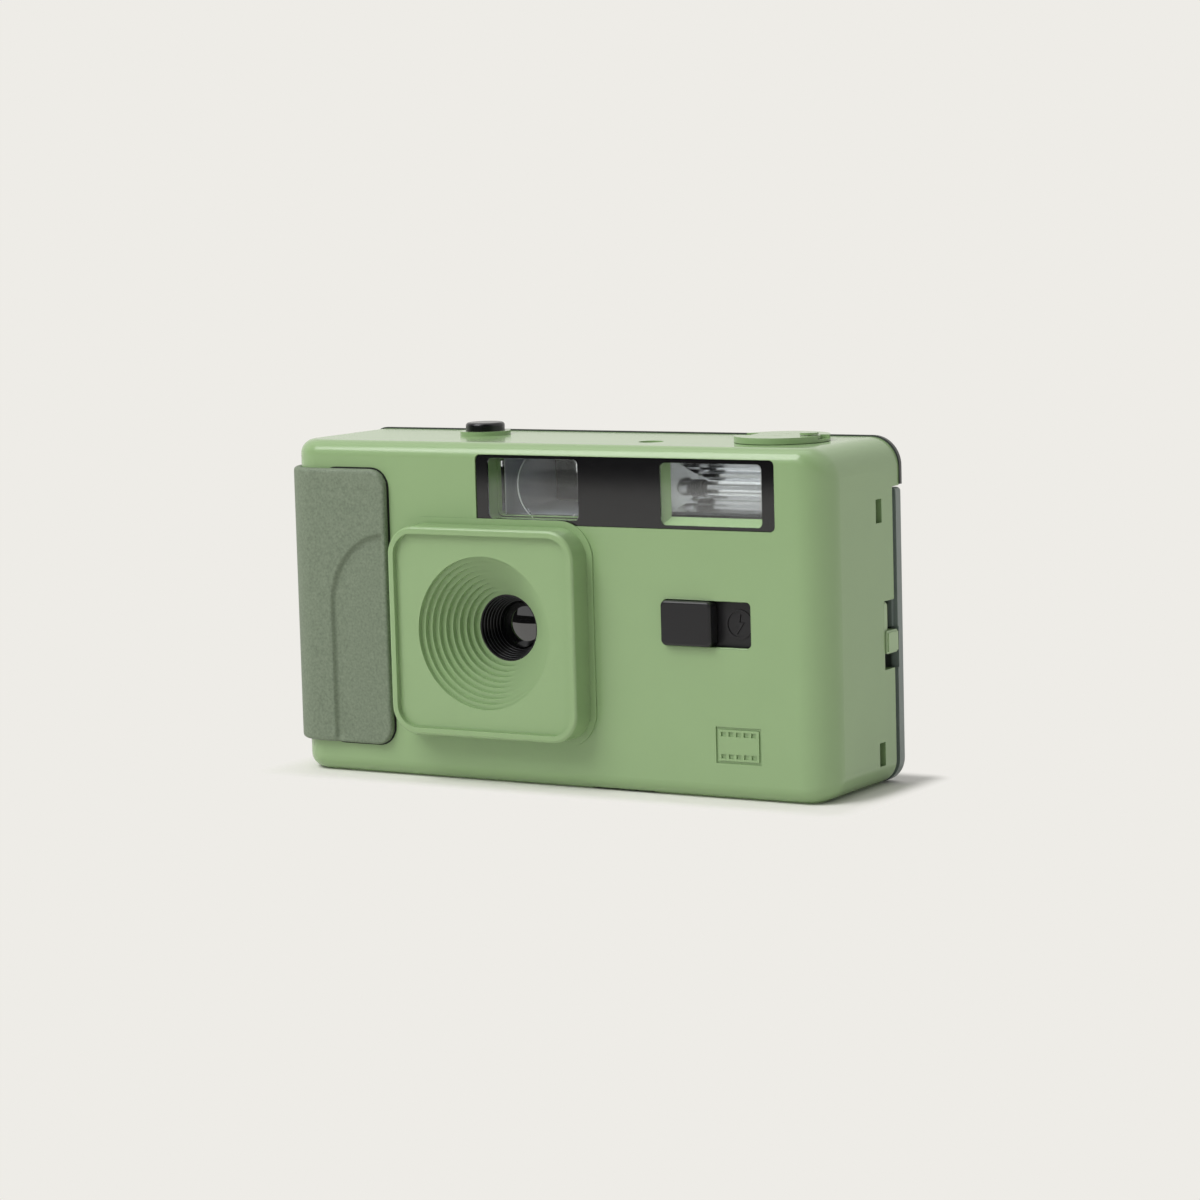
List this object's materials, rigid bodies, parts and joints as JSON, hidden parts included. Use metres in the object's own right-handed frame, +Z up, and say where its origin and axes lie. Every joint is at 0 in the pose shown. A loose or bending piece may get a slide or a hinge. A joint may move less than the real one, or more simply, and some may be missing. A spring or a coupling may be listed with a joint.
{
  "type": "film camera",
  "caption": "Compact 35 mm film camera with a square lens block, a built-in flash, a side grip, a hinged back, a thumb-wheel advance and a folding rewind crank.",
  "frame": {"origin": "middle of the base, on the surface that the camera stands on", "axes": "+X from the grip to the rewind side, +Y from the lens to the back door, +Z up"},
  "size_m": [0.116, 0.036, 0.0654],
  "materials": {
    "front_cover": "satin moulded ABS",
    "lens_surround": "satin moulded ABS",
    "grip_cover": "fine grained soft-touch skin",
    "window_strip": "gloss black strip",
    "viewfinder_front_lens": "clear moulded acrylic",
    "viewfinder_tube": "matt dark moulding",
    "eyepiece_lens": "clear moulded acrylic",
    "flash_pane": "clear ribbed acrylic",
    "flash_reflector": "bright vacuum-plated",
    "flash_tube": "glass tube",
    "flash_switch_plate": "dark moulding",
    "flash_switch_knob": "satin black",
    "lens_barrel": "ridged black moulding",
    "taking_lens": "clear optical acrylic",
    "lens_ring": "black ring",
    "film_chassis": "matt black moulding",
    "chassis_screws": "zinc-plated steel",
    "shutter_plate": "black moulding",
    "shutter_blade": "blackened steel sheet",
    "release_lever": "black acetal",
    "shutter_button": "gloss black",
    "shutter_button_spring": "spring wire",
    "take_up_spool": "black moulding",
    "take_up_gear": "white acetal",
    "sprocket_gear": "white acetal",
    "thumb_wheel": "black knurled moulding",
    "sprocket": "black moulding",
    "frame_counter": "black drum with white marks",
    "counter_window": "clear acrylic",
    "rewind_shaft": "black moulding",
    "rewind_disc": "satin moulded ABS",
    "crank_lever": "satin moulded ABS",
    "crank_knob": "satin moulded ABS",
    "rewind_release_button": "black moulding",
    "rear_cover": "dark moulding",
    "back_door": "satin grey-green moulding",
    "cassette_window": "clear acrylic",
    "hinge_pin": "steel wire",
    "pressure_plate": "blackened steel",
    "pressure_spring": "spring sheet",
    "door_seal": "light-tight foam",
    "door_latch": "satin moulded ABS",
    "latch_spring": "spring wire",
    "battery": "plain sleeve",
    "battery_contact": "nickel-plated",
    "battery_spring": "nickel-plated",
    "battery_door": "satin moulded ABS",
    "flash_board": "green circuit board",
    "flash_capacitor": "shrink sleeve",
    "trigger_coil": "wound copper",
    "ready_lamp": "amber lamp"
  },
  "bodies": {
    "camera_body": {"film_chassis": "film_chassis", "front_cover": "front_cover", "rear_cover": "rear_cover", "lens_surround": "lens_surround", "grip_cover": "grip_cover", "window_strip": "window_strip", "viewfinder_front_lens": "viewfinder_front_lens", "viewfinder_tube": "viewfinder_tube", "eyepiece_lens": "eyepiece_lens", "flash_pane": "flash_pane", "flash_reflector": "flash_reflector", "flash_tube": "flash_tube", "flash_board": "flash_board", "flash_capacitor": "flash_capacitor", "trigger_coil": "trigger_coil", "ready_lamp": "ready_lamp", "flash_switch_plate": "flash_switch_plate", "lens_barrel": "lens_barrel", "taking_lens": "taking_lens", "lens_ring": "lens_ring", "shutter_plate": "shutter_plate", "shutter_button_spring": "shutter_button_spring", "chassis_screws": "chassis_screws", "hinge_pin": "hinge_pin", "counter_window": "counter_window", "battery": "battery", "battery_contact": "battery_contact", "latch_spring": "latch_spring"},
    "door": {"back_door": "back_door", "cassette_window": "cassette_window", "pressure_plate": "pressure_plate", "pressure_spring": "pressure_spring", "door_seal": "door_seal"},
    "latch": {"door_latch": "door_latch"},
    "switch": {"flash_switch_knob": "flash_switch_knob"},
    "release": {"shutter_button": "shutter_button"},
    "lever": {"release_lever": "release_lever"},
    "blade": {"shutter_blade": "shutter_blade"},
    "wheel": {"thumb_wheel": "thumb_wheel"},
    "spool": {"take_up_spool": "take_up_spool", "take_up_gear": "take_up_gear"},
    "sprocket": {"sprocket": "sprocket", "sprocket_gear": "sprocket_gear"},
    "counter": {"frame_counter": "frame_counter"},
    "rewind": {"rewind_shaft": "rewind_shaft", "rewind_disc": "rewind_disc"},
    "crank": {"crank_lever": "crank_lever"},
    "crank_knob": {"crank_knob": "crank_knob"},
    "film_release": {"rewind_release_button": "rewind_release_button"},
    "battery_hatch": {"battery_door": "battery_door", "battery_spring": "battery_spring"}
  },
  "joints": [
    {"name": "door_hinge", "type": "hinge", "parent": "camera_body", "child": "door", "pos_m": [-0.0554, 0.0134, 0.027], "axis": [0, 0, 1], "range_deg": [0, 110]},
    {"name": "latch_slide", "type": "slide", "parent": "camera_body", "child": "latch", "axis": [0, 0, -1], "range_m": [0, 0.0026], "stiffness_N_per_m": 80, "springref_m": -0.002, "deforming": ["latch_spring"]},
    {"name": "flash_switch", "type": "slide", "parent": "camera_body", "child": "switch", "axis": [1, 0, 0], "range_m": [0, 0.0073]},
    {"name": "shutter_press", "type": "slide", "parent": "camera_body", "child": "release", "axis": [0, 0, -1], "range_m": [0, 0.001], "stiffness_N_per_m": 300, "springref_m": -0.001, "deforming": ["shutter_button_spring"]},
    {"name": "lever_tilt", "type": "hinge", "parent": "camera_body", "child": "lever", "pos_m": [-0.0175, -0.0037, 0.0535], "axis": [0, -1, 0], "range_deg": [0, 12]},
    {"name": "blade_swing", "type": "hinge", "parent": "camera_body", "child": "blade", "pos_m": [-0.0118, -0.0022, 0.0366], "axis": [0, 1, 0], "range_deg": [0, 36]},
    {"name": "thumb_wheel_turn", "type": "hinge", "parent": "camera_body", "child": "wheel", "pos_m": [-0.0402, 0.0076, 0.0554], "axis": [0, 0, 1], "continuous": true},
    {"name": "spool_turn", "type": "hinge", "parent": "camera_body", "child": "spool", "pos_m": [-0.0445, 0.0006, 0.0284], "axis": [0, 0, 1], "continuous": true},
    {"name": "sprocket_turn", "type": "hinge", "parent": "camera_body", "child": "sprocket", "pos_m": [-0.0286, 0.0048, 0.0424], "axis": [0, 0, 1], "continuous": true},
    {"name": "counter_turn", "type": "hinge", "parent": "camera_body", "child": "counter", "pos_m": [-0.0519, 0.01, 0.0552], "axis": [0, 0, 1], "continuous": true},
    {"name": "rewind_turn", "type": "hinge", "parent": "camera_body", "child": "rewind", "pos_m": [0.0404, 0.00105, 0.063], "axis": [0, 0, 1], "continuous": true},
    {"name": "crank_fold", "type": "hinge", "parent": "rewind", "child": "crank", "pos_m": [0.0348, 0.00105, 0.0639], "axis": [0, -1, 0], "range_deg": [0, 170]},
    {"name": "crank_knob_spin", "type": "hinge", "parent": "crank", "child": "crank_knob", "pos_m": [0.0459, 0.00105, 0.0642], "axis": [0, 0, 1], "continuous": true},
    {"name": "film_release_press", "type": "slide", "parent": "camera_body", "child": "film_release", "axis": [0, 0, 1], "range_m": [0, 0.0012], "stiffness_N_per_m": 150, "springref_m": -0.001},
    {"name": "battery_hatch_hinge", "type": "hinge", "parent": "camera_body", "child": "battery_hatch", "pos_m": [0.014, -0.00065, 0.00085], "axis": [1, 0, 0], "range_deg": [0, 95]}
  ],
  "couplings": [
    {"joint": "lever_tilt", "follows": "shutter_press", "rad_per_m": 138.89},
    {"joint": "blade_swing", "follows": "shutter_press", "rad_per_m": 610.9},
    {"joint": "spool_turn", "follows": "thumb_wheel_turn", "ratio": -1.3086},
    {"joint": "sprocket_turn", "follows": "thumb_wheel_turn", "ratio": -0.636},
    {"joint": "counter_turn", "follows": "thumb_wheel_turn", "ratio": 0.01767}
  ]
}
